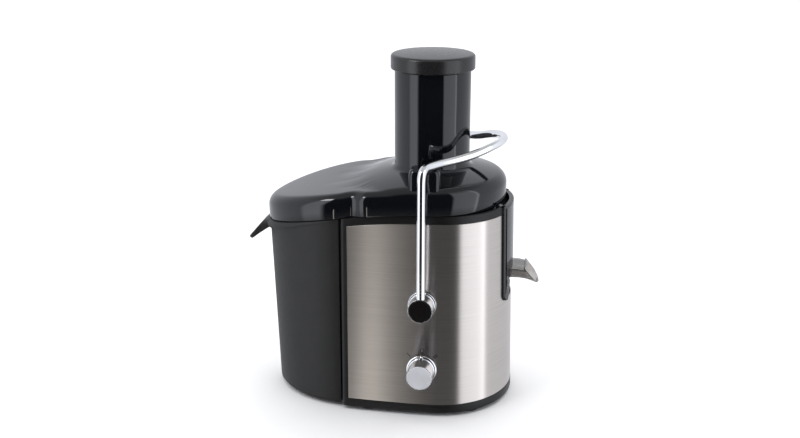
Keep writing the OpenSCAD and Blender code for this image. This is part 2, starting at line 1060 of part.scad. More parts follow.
// Drafted block of the bin between two heights, moved inwards by d
module bin_block(z0, z1, d) {
    rings = [
        for (z = [z0, z1])
            let (
                k = (z - bin_floor) / 200,
                reach = bin_foot_reach + (bin_reach - bin_foot_reach) * k,
                half = bin_foot_half + (bin_half - bin_foot_half) * k
            )
            level(inset(bin_plan(reach, half), d), z)
    ];
    loft(rings, [[-120, 0, z0], [-120, 0, z1]]);
}

// Rim that stands out further at the end with the handle
module bin_lip() {
    difference() {
        translate([0, 0, 190])
            linear_extrude(height = 50)
                polygon(bin_plan(bin_reach + 4, bin_half + 1.6));
        under_seam(3.5);
    }
}

// Tongue that slopes down from the rim to a rounded tip
module bin_handle() {
    slope = 50;
    half = 9;
    tip = [for (a = [-90:15:90]) [29 + half * cos(a), half * sin(a)]];
    translate([-bin_reach - 3, 0, 201.6])
        rotate([0, slope, 180])
            translate([0, 0, -4])
                linear_extrude(height = 4)
                    polygon(concat([[-1.5, -17], [12, -half]], tip, [[12, half], [-1.5, 17]]));
}

// ---- Assembly ----

in_frame() base_housing();
in_frame() motor_deck();
in_frame() steel_skin();
in_frame() spout_frame();
in_frame() base_plate();
in_frame() rubber_feet();
in_frame() base_screws();
in_frame() juice_bowl();
in_frame() juice_spout();
in_frame() shaft_seal();
in_frame() motor_stator();
in_frame() field_windings();
in_frame() upper_bracket();
in_frame() lower_bracket();
in_frame() upper_bearing();
in_frame() lower_bearing();
in_frame() brush_holders();
in_frame() carbon_brushes();
in_frame() motor_dampers();
in_frame() motor_screws();
in_frame() stator_bolts();
in_frame() speed_switch();
in_frame() interlock_switch();
in_frame() terminal_block();
in_frame() internal_leads();
in_frame() cord_gland();
in_frame() arm_bushes();
in_frame() motor_shaft();
in_frame() rotor_core();
in_frame() rotor_winding();
in_frame() commutator();
in_frame() cooling_fan();
in_frame() drive_coupling();
in_frame() basket_hub();
in_frame() filter_mesh();
in_frame() basket_rim();
in_frame() grater_disc();
in_frame() disc_rivets();
in_frame() lid();
in_frame() pusher_body();
in_frame() pusher_cap();
in_frame() locking_arm();
in_frame() arm_hubs();
in_frame() hub_caps();
in_frame() pivot_pins();
in_frame() speed_knob();
in_frame() knob_face_disc();
in_frame() switch_spindle();
in_frame() pulp_bin();
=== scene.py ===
import json
import math

import bmesh
import bpy
from mathutils import Matrix, Vector


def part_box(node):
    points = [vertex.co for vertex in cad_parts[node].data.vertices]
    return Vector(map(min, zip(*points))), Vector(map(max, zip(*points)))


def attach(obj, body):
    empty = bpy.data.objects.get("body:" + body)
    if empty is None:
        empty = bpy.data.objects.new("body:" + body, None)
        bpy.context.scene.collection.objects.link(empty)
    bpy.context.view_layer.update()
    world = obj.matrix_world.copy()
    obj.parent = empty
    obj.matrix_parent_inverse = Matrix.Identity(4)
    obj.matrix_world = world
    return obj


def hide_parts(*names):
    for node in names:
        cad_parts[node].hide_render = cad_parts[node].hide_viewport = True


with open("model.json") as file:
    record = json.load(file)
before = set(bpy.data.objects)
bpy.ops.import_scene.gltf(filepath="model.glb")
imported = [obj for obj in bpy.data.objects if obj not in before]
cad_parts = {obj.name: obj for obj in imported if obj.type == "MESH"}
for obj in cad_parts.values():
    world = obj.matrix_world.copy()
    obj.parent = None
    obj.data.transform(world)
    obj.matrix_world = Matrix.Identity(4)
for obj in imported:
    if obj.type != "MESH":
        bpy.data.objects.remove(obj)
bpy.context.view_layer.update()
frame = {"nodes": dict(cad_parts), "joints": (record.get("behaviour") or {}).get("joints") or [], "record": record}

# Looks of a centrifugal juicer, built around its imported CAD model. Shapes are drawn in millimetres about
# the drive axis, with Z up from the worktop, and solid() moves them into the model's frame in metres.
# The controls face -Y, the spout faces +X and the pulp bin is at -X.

MM = 0.001
JOINTS = {joint["name"]: joint for joint in frame["joints"]}
AXIS = Vector(JOINTS["drive_spin"]["pos_m"]) * Vector((1, 1, 0))


def span(node):
    """Lowest and highest corner of a CAD node, in millimetres about the drive axis."""
    low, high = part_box(node)
    return (low - AXIS) / MM, (high - AXIS) / MM


def joint_place(name):
    """A joint's place, in millimetres about the drive axis."""
    return (Vector(JOINTS[name]["pos_m"]) - AXIS) / MM


# ---- Sizes in millimetres ----

BASE_LEFT = 91  # drive axis to the flat left wall
PILLAR_X = 84  # drive axis to the left end of the skin
ARC_X = 9  # centre of the base's rounded end
SIDE_K = 2128  # how slowly the base's sides curve in
SKIN_END = -PILLAR_X + 0.05  # between the skin's last corner and the pillar's first
SKIN_BOTTOM = span("steel_skin")[0].z - 0.1
BASE_R = 86.2  # radius of the rounded end at the skin's bottom
DRAFT = 4.6 / 216  # how the radius shrinks with height
BAND = 9  # height of the black band over the skin
WALL = 3.4  # skin and housing wall together
SEAM_TOP = span("base_housing")[1].z  # joint line between base and lid, right of the drive axis
SEAM_K = 1240  # how slowly the joint line falls to the left
SLOT_HALF = 38  # half width of the slot for the spout
SLOT_Z = 122  # its lower edge
SLOT_R = 9  # its lower corners
DUCT_Z = 146.2  # underside of the spout's duct
DUCT_TALL = 10
DUCT_HALF = 19.5
MOUTH_TILT = math.radians(50.8)  # the mouth's plane, from level
MOUTH_X = 107.7  # right end of the duct's top, where the mouth starts
TUBE_R = 42  # feed tube, outside
TUBE_BORE = 39.5
TUBE_TOP = span("lid")[1].z
TUBE_FOOT = span("lid")[0].z
LID_R = 84  # lid round the drive axis
LID_WAIST = 75.8  # half width of the lid where it narrows before its left end
LID_REACH = 188.5  # drive axis to the lid's left tip
LID_HALF = 78.8
LID_GAP = 0.6  # over the joint line
LID_WALL = 27  # height of the lid's side
LID_CROWN = 13  # rise of the lid's face towards the feed tube
LID_T = 2.5
SHOULDER_R = 10  # between the lid's side and its face
TUBE_FILLET = 5
LUG_Y = 67
BIN_REACH = 187.5  # drive axis to the bin's left tip
BIN_HALF = 78
BIN_FLOOR = 4  # underside of the bin
BIN_TALL = 200  # height over which the bin widens
BIN_T = 2.4
LOBE_POWER = 1.8  # of the superellipse that rounds the left ends of lid and bin
PIVOT = joint_place("arm_swing")
LEG_Y = 101  # drive axis to the arm's legs
ROD_R = 4.5
KNOB = joint_place("knob_turn")
KNOB_R = 14.3
KNOB_FACE = -span("knob_face_disc")[0].y
CAP_LOW, CAP_HIGH = span("pusher_cap")
CAMERA_AZIMUTH = math.radians(8)
CAMERA_TILT = math.radians(18)


# ---- Outlines seen from above, counter-clockwise ----


def seam(x):
    """Height of the joint line, which falls to the left on a long arc."""
    return SEAM_TOP - max(0, 10 - x) ** 2 / SEAM_K


def base_plan(z):
    """Outline of the base at a height."""
    r = BASE_R - (z - SKIN_BOTTOM) * DRAFT

    def side(x):
        return r - (ARC_X - x) ** 2 / SIDE_K

    angles = [math.radians(a) for a in range(-90, 91, 3)]
    arc = [(ARC_X + r * math.cos(a), r * math.sin(a)) for a in angles]
    xs = [0, -12, -24, -36, -48, -60, -72, -80, -PILLAR_X + 0.1, -PILLAR_X, -86.5, -88.5]
    corner = [(-BASE_LEFT + 1.2, side(-88.5) - 0.7), (-BASE_LEFT + 0.3, side(-88.5) - 1.9)]
    wall = [(-BASE_LEFT, y) for y in (76, 50, 25)]
    upper = arc + [(x, side(x)) for x in xs] + corner + wall
    front = [(x, -y) for x, y in reversed(upper[len(arc):])]
    return upper + [(-BASE_LEFT, 0)] + front


def lobe_y(x, reach, half):
    """Half width of the rounded left end, a superellipse that starts at the base's left wall."""
    share = max(0, 1 - ((-BASE_LEFT - x) / (reach - BASE_LEFT)) ** LOBE_POWER)
    return half * share ** (1 / LOBE_POWER)


def lobe(reach, half, first):
    """Back half of the rounded left end, from the base's wall to the tip."""
    angles = [math.radians(a) for a in range(first, 88, 4)] + [math.radians(88.6)]
    xs = [-BASE_LEFT - (reach - BASE_LEFT) * math.sin(a) for a in angles]
    return [(x, lobe_y(x, reach, half)) for x in xs] + [(-reach, 0)]


def bin_plan(z):
    """Outline of the bin at a height."""
    k = (z - BIN_FLOOR) / BIN_TALL
    reach = BIN_REACH - 6.5 * (1 - k)
    half = BIN_HALF - (1 - k)
    right = -BASE_LEFT - 1.5
    back = [(right, 30), (right, 55), (right, half - 2.5), (right - 0.8, half - 0.7)]
    back += lobe(reach, half, 4)
    return [(right, 0)] + back + [(x, -y) for x, y in reversed(back[:-1])]


def lid_side(x):
    """Half width of the lid left of the drive axis: full, then a waist, then the lobe."""
    if x > -62:
        return LID_R - x * x / 2600
    if x > -80:
        return LID_WAIST + 6.7 * (1 + math.cos(math.radians(10 * (-62 - x)))) / 2
    return LID_WAIST + 2.6 * (1 - math.cos(math.radians(15 * (-80 - x)))) / 2


def lid_plan():
    """Outline of the lid."""
    angles = [math.radians(a) for a in range(-90, 91, 3)]
    arc = [(LID_R * math.cos(a), LID_R * math.sin(a)) for a in angles]
    xs = list(range(-5, -62, -5)) + [-63 - 2.2 * i for i in range(13)]
    back = [(x, lid_side(x)) for x in xs] + lobe(LID_REACH, LID_HALF, 2)
    return arc + back + [(x, -y) for x, y in reversed(back[:-1])]


def inset(outline, distance):
    """Moves every corner of an outline inwards, square to its neighbours."""
    moved = []
    for i, (x, y) in enumerate(outline):
        ax, ay = outline[i - 1]
        bx, by = outline[(i + 1) % len(outline)]
        length = math.hypot(bx - ax, by - ay)
        moved.append((x - distance * (by - ay) / length, y + distance * (bx - ax) / length))
    return moved


def wall_ring(low, high, span_z, guide, depth, height):
    """Ring on walls that run from one outline up to another, between the two heights of span_z.

    It lies at a height, moved inwards by a depth, and either may be a function of x. That x comes from
    the guide outline, which is low or high.
    """
    tall = height if callable(height) else lambda x: height
    deep = depth if callable(depth) else lambda x: depth
    ring = []
    for a, b, c, d, (at, _) in zip(low, high, inset(low, 1), inset(high, 1), guide):
        z = tall(at)
        k = (z - span_z[0]) / (span_z[1] - span_z[0])
        x, y = (p + (q - p) * k for p, q in zip(a, b))
        ix, iy = (p + (q - p) * k for p, q in zip(c, d))
        ring.append((x + (ix - x) * deep(at), y + (iy - y) * deep(at), z))
    return ring


def below_seam(drop):
    """Height function that stays a distance under the joint line."""
    return lambda x: seam(x) - drop


# ---- Mesh helpers ----


def stack(rings, around=True, loop=True):
    """Faces between rings of equal length; loop joins the last ring to the first."""
    count = len(rings[0])
    points = [p for ring in rings for p in ring]
    faces = []
    for k in range(len(rings) if loop else len(rings) - 1):
        for i in range(count if around else count - 1):
            a, b = k * count, (k + 1) % len(rings) * count
            j = (i + 1) % count
            faces.append((a + i, a + j, b + j, b + i))
    if loop and not around:
        faces.append([k * count for k in range(len(rings))])
        faces.append([k * count + count - 1 for k in reversed(range(len(rings)))])
    if not loop:
        faces.append(list(reversed(range(count))))
        faces.append([(len(rings) - 1) * count + i for i in range(count)])
    return points, faces


def lathe(profile, centre, axis="z", steps=96):
    """Turns a closed profile of (radius, height) about an axis through centre.

    About y, height counts towards -Y, the front.
    """
    rings = []
    for radius, height in profile:
        ring = []
        for i in range(steps):
            a = math.tau * i / steps
            u, v = radius * math.cos(a), radius * math.sin(a)
            offset = (u, v, height) if axis == "z" else (u, -height, v)
            ring.append(tuple(c + o for c, o in zip(centre, offset)))
        rings.append(ring)
    return stack(rings)


def soften(profile, radius, steps=4):
    """Rounds the corners of a closed profile; radius is one number or one for each corner."""
    count = len(profile)
    radii = radius if isinstance(radius, (list, tuple)) else [radius] * count
    result = []
    for i, point in enumerate(profile):
        corner = Vector(point)
        before = Vector(profile[i - 1]) - corner
        after = Vector(profile[(i + 1) % count]) - corner
        reach = min(radii[i], before.length * 0.45, after.length * 0.45)
        if reach < 0.01:
            result.append(tuple(point))
            continue
        start, end = corner + before.normalized() * reach, corner + after.normalized() * reach
        for k in range(steps + 1):
            t = k / steps
            spot = start * (1 - t) ** 2 + corner * 2 * t * (1 - t) + end * t * t
            result.append(tuple(spot))
    return result


def mirrored(shape):
    """A shape and its mirror image behind the drive axis."""
    points, faces = shape
    other = [(x, -y, z) for x, y, z in points]
    return joined(shape, (other, [tuple(reversed(face)) for face in faces]))


def joined(*shapes):
    """Several shapes as one."""
    points, faces = [], []
    for more_points, more_faces in shapes:
        first = len(points)
        points += more_points
        faces += [tuple(first + i for i in face) for face in more_faces]
    return points, faces


def solid(name, shape, origin=(0, 0, 0)):
    """Blender object of a shape, with its normals outwards; origin is in millimetres."""
    points, faces = shape
    mesh = bpy.data.meshes.new(name)
    mesh.from_pydata([(Vector(p) - Vector(origin)) * MM for p in points], [], faces)
    work = bmesh.new()
    work.from_mesh(mesh)
    bmesh.ops.remove_doubles(work, verts=work.verts, dist=1e-6)
    bmesh.ops.dissolve_degenerate(work, edges=work.edges, dist=1e-7)
    bmesh.ops.recalc_face_normals(work, faces=work.faces)
    work.to_mesh(mesh)
    work.free()
    piece = bpy.data.objects.new(name, mesh)
    piece.location = AXIS + Vector(origin) * MM
    bpy.context.scene.collection.objects.link(piece)
    return piece


def carve(piece, tool, operation="DIFFERENCE"):
    """Cuts or joins another object into piece, and removes that object."""
    modifier = piece.modifiers.new("carve", "BOOLEAN")
    modifier.object = tool
    modifier.operation = operation
    modifier.solver = "EXACT"
    bpy.context.view_layer.update()
    evaluated = piece.evaluated_get(bpy.context.evaluated_depsgraph_get())
    result = bpy.data.meshes.new_from_object(evaluated)
    piece.modifiers.clear()
    piece.data = result
    bpy.data.objects.remove(tool)


def finish_piece(piece, body, slot, *nodes, angle=32):
    """Shades a piece, gives it its slot's material, ties it to its body and hides the CAD nodes it stands in for.
    """
    piece.data.shade_smooth()
    piece.data.set_sharp_from_angle(angle=math.radians(angle))
    piece.data.materials.clear()
    piece.data.materials.append(MATERIALS[slot])
    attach(piece, body)
    if nodes:
        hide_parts(*nodes)
    return piece


def make(name, shape, body, slot, *nodes, origin=(0, 0, 0), angle=32):
    """A finished piece straight from a shape."""
    return finish_piece(solid(name, shape, origin), body, slot, *nodes, angle=angle)


# ---- Materials ----


def add_node(tree, kind, inputs, **settings):
    """A node of a kind, with its settings and its input values or links."""
    node = tree.nodes.new(kind)
    for key, value in settings.items():
        setattr(node, key, value)
    for key, value in inputs.items():
        if isinstance(value, bpy.types.NodeSocket):
            tree.links.new(value, node.inputs[key])
        else:
            node.inputs[key].default_value = value
    return node


class Finish:
    """One procedural material: a Principled shader with textures in the object's own metres."""

    def __init__(self, name, color, roughness, metallic=0.0, **sockets):
        self.name = name
        self.material = bpy.data.materials.new(name)
        self.material.use_nodes = True
        self.tree = self.material.node_tree
        self.shader = self.tree.nodes["Principled BSDF"]
        self.color = color
        self.place = self.tree.nodes.new("ShaderNodeTexCoord").outputs["Object"]
        self.shader.inputs["Base Color"].default_value = (*color, 1)
        self.shader.inputs["Roughness"].default_value = roughness
        self.shader.inputs["Metallic"].default_value = metallic
        for socket, value in sockets.items():
            self.shader.inputs[socket.replace("_", " ")].default_value = value

    def add(self, kind, inputs, **settings):
        """A node in this material."""
        return add_node(self.tree, kind, inputs, **settings)

    def noise(self, size, stretch=(1, 1, 1), detail=3.0):
        """Noise whose features are about size metres, drawn out along the axes by stretch."""
        scaled = self.add("ShaderNodeMapping", {"Vector": self.place})
        scaled.inputs["Scale"].default_value = [1 / (size * s) for s in stretch]
        place = scaled.outputs["Vector"]
        node = self.add("ShaderNodeTexNoise", {"Vector": place, "Scale": 1.0, "Detail": detail})
        return node.outputs["Fac"]

    def mottle(self, factor, darker, lighter):
        """Varies the colour between two shares of itself."""
        node = self.add("ShaderNodeValToRGB", {"Fac": factor})
        node.color_ramp.elements[0].position = 0.3
        node.color_ramp.elements[1].position = 0.7
        node.color_ramp.elements[0].color = (*[c * darker for c in self.color], 1)
        node.color_ramp.elements[1].color = (*[min(1, c * lighter) for c in self.color], 1)
        self.tree.links.new(node.outputs["Color"], self.shader.inputs["Base Color"])
        return self

    def vary(self, factor, low, high):
        """Varies the roughness."""
        node = self.add("ShaderNodeMapRange", {"Value": factor, "To Min": low, "To Max": high})
        self.tree.links.new(node.outputs["Result"], self.shader.inputs["Roughness"])
        return self

    def bump(self, factor, strength, depth):
        """Raises the surface by depth metres where the factor is high."""
        node = self.add("ShaderNodeBump", {"Height": factor, "Strength": strength, "Distance": depth})
        self.tree.links.new(node.outputs["Normal"], self.shader.inputs["Normal"])
        return self

    def brushed_round(self, axis):
        """Turns the shader's brushing around an axis of the object."""
        node = self.add("ShaderNodeTangent", {}, direction_type="RADIAL", axis=axis)
        self.tree.links.new(node.outputs["Tangent"], self.shader.inputs["Tangent"])
        return self

    def stripes(self, pitch, direction):
        """Even stripes across a direction, pitch metres apart."""
        node = self.add("ShaderNodeTexWave", {"Vector": self.place, "Scale": 1 / (pitch * 3.2)})
        node.bands_direction = direction
        return node.outputs["Fac"]


def moulded(name, color, roughness, grain=0.0004, depth=0.00004, **sockets):
    """Moulded plastic or rubber with a fine even grain."""
    f = Finish(name, color, roughness, **sockets)
    f.mottle(f.noise(0.02), 0.90, 1.10)
    f.vary(f.noise(0.006), roughness - 0.05, roughness + 0.06)
    return f.bump(f.noise(grain, detail=2), 0.35, depth)


def glossy(name, color, roughness, **sockets):
    """Polished clear or dark plastic, with faint flow marks and small changes of gloss."""
    f = Finish(name, color, roughness, **sockets)
    f.mottle(f.noise(0.05), 0.94, 1.06)
    f.vary(f.noise(0.012, detail=5), roughness * 0.7, roughness * 1.5)
    return f.bump(f.noise(0.03), 0.05, 0.00015)


def ground(name, color, roughness, stretch=(1, 1, 1), size=0.0005, **sockets):
    """Ground or turned bare metal."""
    f = Finish(name, color, roughness, 1.0, **sockets)
    f.mottle(f.noise(0.01), 0.93, 1.05)
    f.vary(f.noise(size, stretch), roughness * 0.75, roughness * 1.35)
    return f.bump(f.noise(size, stretch, 2), 0.2, 0.00002)


def skin_steel():
    """Sheet steel brushed in long level lines."""
    f = Finish("skin_steel", (0.63, 0.59, 0.56), 0.30, 1.0, Anisotropic=0.95, Anisotropic_Rotation=0.25)
    lines = f.noise(0.0004, (160, 160, 1), 4)
    f.mottle(lines, 0.90, 1.07)
    f.vary(f.noise(0.0009, (60, 60, 1)), 0.27, 0.34)
    f.bump(lines, 0.06, 0.00003)
    return f.brushed_round("Z")


def knob_face():
    """Face of the knob, turned on a lathe, so its lines run round the centre."""
    f = Finish("knob_face", (0.80, 0.80, 0.84), 0.55, 0.55, Anisotropic=0.4)
    flat = f.add("ShaderNodeVectorMath", {0: f.place, 1: (1, 0, 1)}, operation="MULTIPLY")
    radius = f.add("ShaderNodeVectorMath", {0: flat.outputs[0]}, operation="LENGTH")
    place = radius.outputs["Value"]
    rings = f.add("ShaderNodeTexNoise", {"W": place, "Scale": 4200.0}, noise_dimensions="1D")
    f.mottle(rings.outputs["Fac"], 0.93, 1.05)
    f.vary(f.noise(0.004), 0.48, 0.62)
    f.bump(rings.outputs["Fac"], 0.25, 0.00002)
    return f.brushed_round("Y")


def laminations():
    """Stack of thin steel sheets."""
    f = Finish("lamination_steel", (0.30, 0.30, 0.31), 0.45, 0.8)
    f.mottle(f.noise(0.0005, (40, 40, 1)), 0.75, 1.15)
    return f.bump(f.stripes(0.001, "Z"), 0.5, 0.0001)


def windings():
    """Enamelled wire wound round and round."""
    f = Finish("copper_wire", (0.50, 0.19, 0.055), 0.30, 0.6, Coat_Weight=0.6)
    f.mottle(f.noise(0.0008, (30, 30, 1)), 0.7, 1.2)
    return f.bump(f.stripes(0.0009, "Z"), 0.8, 0.0003)


def perforated():
    """Fine steel mesh: rows of small dark holes round the drive axis."""
    row_pitch, holes_round = 0.0014, 260.0
    steel = (0.62, 0.62, 0.63)
    f = Finish("mesh_steel", steel, 0.30, 1.0)
    centred = f.add("ShaderNodeVectorMath", {0: f.place, 1: AXIS}, operation="SUBTRACT")
    parts = f.add("ShaderNodeSeparateXYZ", {"Vector": centred.outputs[0]})
    turn = f.add("ShaderNodeMath", {0: parts.outputs["Y"], 1: parts.outputs["X"]}, operation="ARCTAN2")
    across = f.add("ShaderNodeMath", {0: turn.outputs[0], 1: holes_round}, operation="MULTIPLY")
    scale = math.tau / row_pitch
    along = f.add("ShaderNodeMath", {0: parts.outputs["Z"], 1: scale}, operation="MULTIPLY")
    waves = [f.add("ShaderNodeMath", {0: w.outputs[0]}, operation="SINE") for w in (across, along)]
    pair = {0: waves[0].outputs[0], 1: waves[1].outputs[0]}
    both = f.add("ShaderNodeMath", pair, operation="MULTIPLY")
    edge = {"Value": both.outputs[0], "From Min": 0.35, "From Max": 0.55}
    hole = f.add("ShaderNodeMapRange", edge)
    mix = f.add("ShaderNodeValToRGB", {"Fac": hole.outputs["Result"]})
    mix.color_ramp.elements[0].color = (*steel, 1)
    mix.color_ramp.elements[1].color = (0.03, 0.03, 0.03, 1)
    f.tree.links.new(mix.outputs["Color"], f.shader.inputs["Base Color"])
    f.vary(f.noise(0.002), 0.24, 0.38)
    return f.bump(hole.outputs["Result"], -0.6, 0.0002)


FINISHES = [
    moulded("housing_black", (0.006, 0.006, 0.006), 0.40, Specular_IOR_Level=0.35),
    moulded("trim_black", (0.012, 0.012, 0.0125), 0.26, grain=0.0003, depth=0.00002),
    glossy("trim_gloss_black", (0.006, 0.005, 0.005), 0.10),
    moulded("soft_rubber", (0.012, 0.012, 0.012), 0.75, grain=0.0006),
    moulded("switch_body", (0.030, 0.030, 0.032), 0.50),
    moulded("terminal_plastic", (0.62, 0.60, 0.54), 0.48),
    moulded("lead_sleeve", (0.045, 0.045, 0.05), 0.45, grain=0.0008),
    moulded("bush_plastic", (0.66, 0.63, 0.55), 0.42),
    moulded("fan_plastic", (0.035, 0.035, 0.04), 0.45),
    moulded("basket_plastic", (0.020, 0.020, 0.022), 0.38),
    moulded("bin_charcoal", (0.0125, 0.0125, 0.012), 0.48, grain=0.0005, Specular_IOR_Level=0.35),
    moulded("carbon", (0.03, 0.03, 0.03), 0.70),
    glossy("lid_smoke", (0.0035, 0.0042, 0.006), 0.045, Transmission_Weight=0.12, IOR=1.52),
    glossy("pusher_smoke", (0.004, 0.004, 0.005), 0.10),
    glossy("bowl_smoke", (0.02, 0.02, 0.022), 0.08),
    glossy("spout_smoke", (0.36, 0.345, 0.33), 0.07, Transmission_Weight=0.92, IOR=1.49),
    glossy("arm_chrome", (0.86, 0.87, 0.89), 0.035, Metallic=1.0),
    glossy("knob_silver", (0.80, 0.80, 0.82), 0.12, Metallic=1.0),
    ground("fastener_steel", (0.55, 0.55, 0.57), 0.28),
    ground("bearing_steel", (0.62, 0.62, 0.64), 0.16, (1, 1, 0.2)),
    ground("bracket_aluminium", (0.56, 0.57, 0.58), 0.45, size=0.0012),
    ground("brass_parts", (0.62, 0.44, 0.18), 0.30),
    ground("copper_bars", (0.62, 0.31, 0.18), 0.25, (1, 1, 0.1)),
    skin_steel(),
    knob_face(),
    laminations(),
    windings(),
    perforated(),
]
MATERIALS = {finish.name: finish.material for finish in FINISHES}


def dress_cad_nodes():
    """Gives every CAD node its slot's material."""
    for part in frame["record"]["subparts"]:
        node = frame["nodes"][part["node"]]
        node.data.shade_smooth()
        node.data.set_sharp_from_angle(angle=math.radians(25))
        for holder in node.material_slots:
            holder.material = MATERIALS[part["material_slot"]]


# ---- Drive base ----


def base_ring(depth, height):
    """Ring round the base; depth and height are as in wall_ring."""
    low, high = base_plan(SKIN_BOTTOM), base_plan(SEAM_TOP)
    return wall_ring(low, high, (SKIN_BOTTOM, SEAM_TOP), low, depth, height)


def slot_tool():
    """Upright block with rounded lower corners, the opening for the spout."""
    corners = [
        (SLOT_HALF * side - SLOT_R * side * (1 - math.cos(a)), SLOT_Z + SLOT_R * (1 - math.sin(a)))
        for side, turns in ((-1, range(0, 91, 10)), (1, range(90, -1, -10)))
        for a in [math.radians(t) for t in turns]
    ]
    corners += [(SLOT_HALF, SEAM_TOP + 20), (-SLOT_HALF, SEAM_TOP + 20)]
    rings = [[(x, y, z) for y, z in corners] for x in (60, 120)]
    return solid("slot_tool", stack(rings, loop=False))


def base_housing():
    """Black moulded walls: lower band, rim band and pillars beside the bin, with a recess for the skin."""
    proud = -0.3

    def recess(x):
        return 0.9 if x > SKIN_END else proud

    def edge(x):
        return 0.15 if x > SKIN_END else proud

    rings = [
        base_ring(1.2, 4),
        base_ring(0.1, 4.4),
        base_ring(proud, 5.4),
        base_ring(proud, SKIN_BOTTOM - 0.6),
        base_ring(edge, SKIN_BOTTOM - 0.05),
        base_ring(recess, SKIN_BOTTOM),
        base_ring(recess, below_seam(BAND)),
        base_ring(edge, below_seam(BAND - 0.05)),
        base_ring(proud, below_seam(BAND - 0.6)),
        base_ring(proud, below_seam(1.2)),
        base_ring(0.0, below_seam(0.35)),
        base_ring(0.8, below_seam(0)),
        base_ring(WALL - 0.4, below_seam(0)),
        base_ring(WALL, below_seam(0.5)),
        base_ring(WALL, 4),
    ]
    piece = solid("housing_shell", stack(rings))
    carve(piece, slot_tool())
    finish_piece(piece, "base", "housing_black", "base_housing")


def steel_skin():
    """Brushed sheet round the front, the rounded end and the back."""
    profile = [
        (0.3, SKIN_BOTTOM + 0.1),
        (0, SKIN_BOTTOM + 0.35),
        (0, below_seam(BAND + 0.4)),
        (0.3, below_seam(BAND + 0.12)),
        (0.75, below_seam(BAND + 0.12)),
        (0.75, SKIN_BOTTOM + 0.1),
    ]
    rings = []
    for depth, height in profile:
        ring = base_ring(depth, height)
        start = next(i for i, p in enumerate(ring) if p[0] < -PILLAR_X + 0.6 and p[1] < 0)
        turned = ring[start:] + ring[:start]
        rings.append([p for p in turned if p[0] > SKIN_END])
    piece = solid("brushed_skin", stack(rings, around=False))
    carve(piece, slot_tool())
    finish_piece(piece, "base", "skin_steel", "steel_skin")


def front_point(x, z, lift):
    """Point on the front of the skin, lifted off it."""
    r = BASE_R - (z - SKIN_BOTTOM) * DRAFT
    return (x, -(r - (ARC_X - x) ** 2 / SIDE_K) - lift, z)


def mark(outer, inner):
    """Thin printed mark on the skin between an outer outline and an inner one, both of (x, z)."""
    rings = [
        [front_point(x, z, lift) for x, z in outline]
        for outline, lift in ((outer, -0.2), (outer, 0.05), (inner, 0.05), (inner, -0.2))
    ]
    return stack(rings)


def stroke(x, z, tilt, length=5.6, width=0.95):
    """Short printed line about (x, z), tilted from upright."""
    along = Vector((math.sin(tilt), math.cos(tilt))) * length / 2
    side = Vector((math.cos(tilt), -math.sin(tilt))) * width / 2
    centre = Vector((x, z))
    corners = [centre + along * up + side * aside for up, aside in ((-1, -1), (-1, 1), (1, 1), (1, -1))]
    middle = [centre + (c - centre) * 0.02 for c in corners]
    return mark([tuple(c) for c in corners], [tuple(c) for c in middle])


def dial_marks():
    """Off, one and two, printed round the knob."""
    reach = 21.4  # from the knob's centre
    circle = [(math.cos(math.tau * i / 32), math.sin(math.tau * i / 32)) for i in range(32)]
    top = KNOB.z + reach
    outer = [(2.3 * x, top + 2.8 * z) for x, z in circle]
    inner = [(1.45 * x, top + 1.95 * z) for x, z in circle]
    turn = math.radians(44)
    x, z = reach * math.sin(turn), KNOB.z + reach * math.cos(turn)
    aside, down = 0.95 * math.cos(turn), 0.95 * math.sin(turn)
    off, one = mark(outer, inner), stroke(-x, z, -turn)
    two = [stroke(x - aside, z + down, turn), stroke(x + aside, z - down, turn)]
    make("dial_marks", joined(off, one, *two), "base", "switch_body")


def end_x(y, z, depth=0):
    """How far the rounded end reaches to the right, at a place on it and a depth into it."""
    radius = BASE_R - (z - SKIN_BOTTOM) * DRAFT - depth
    return ARC_X + math.sqrt(radius ** 2 - y ** 2)


def spout_frame():
    """Black trim round the slot, on the base's rounded end, with a raised outer lip."""
    half, bottom, r, top = SLOT_HALF - 0.1, SLOT_Z + 0.1, SLOT_R, SEAM_TOP - 0.3
    section = [  # across the trim, depth into the base
        (0.05, 3.3), (0.05, -1.6), (0.5, -2.5), (1.3, -3), (2.6, -2.9), (3.6, -2.3), (4.4, -1.2),
        (5.4, -0.9), (6.5, -1.2), (6.9, -0.7), (6.9, 3.3),
    ]
    path = [((-half, z), (1, 0)) for z in (top, 222, 200, 175, 150)]
    for side, turns in ((-1, range(0, 91, 10)), (1, range(90, -1, -10))):
        for a in [math.radians(t) for t in turns]:
            spot = (side * (half - r + r * math.cos(a)), bottom + r - r * math.sin(a))
            path.append((spot, (-side * math.cos(a), math.sin(a))))
    path += [((half, z), (-1, 0)) for z in (150, 175, 200, 222, top)]
    rings = []
    for (y, z), (ny, nz) in path:
        spots = [(y + ny * across, z + nz * across, depth) for across, depth in section]
        rings.append([(end_x(py, pz, depth), py, pz) for py, pz, depth in spots])
    low = SEAM_TOP - 2.7
    corners = [(0, low), (-2.3, low), (-2.3, top), (3, top), (3, low)]
    bar = soften(corners, [0, 0.2, 1.2, 0.3, 0])
    ledge = []
    for y in [(half - 0.2) * math.sin(math.radians(a)) for a in range(-90, 91, 9)]:
        ledge.append([(end_x(y, z, depth), y, z) for depth, z in bar])
    shape = joined(stack(rings, loop=False), stack(ledge, loop=False))
    make("slot_trim", shape, "base", "trim_black", "spout_frame")


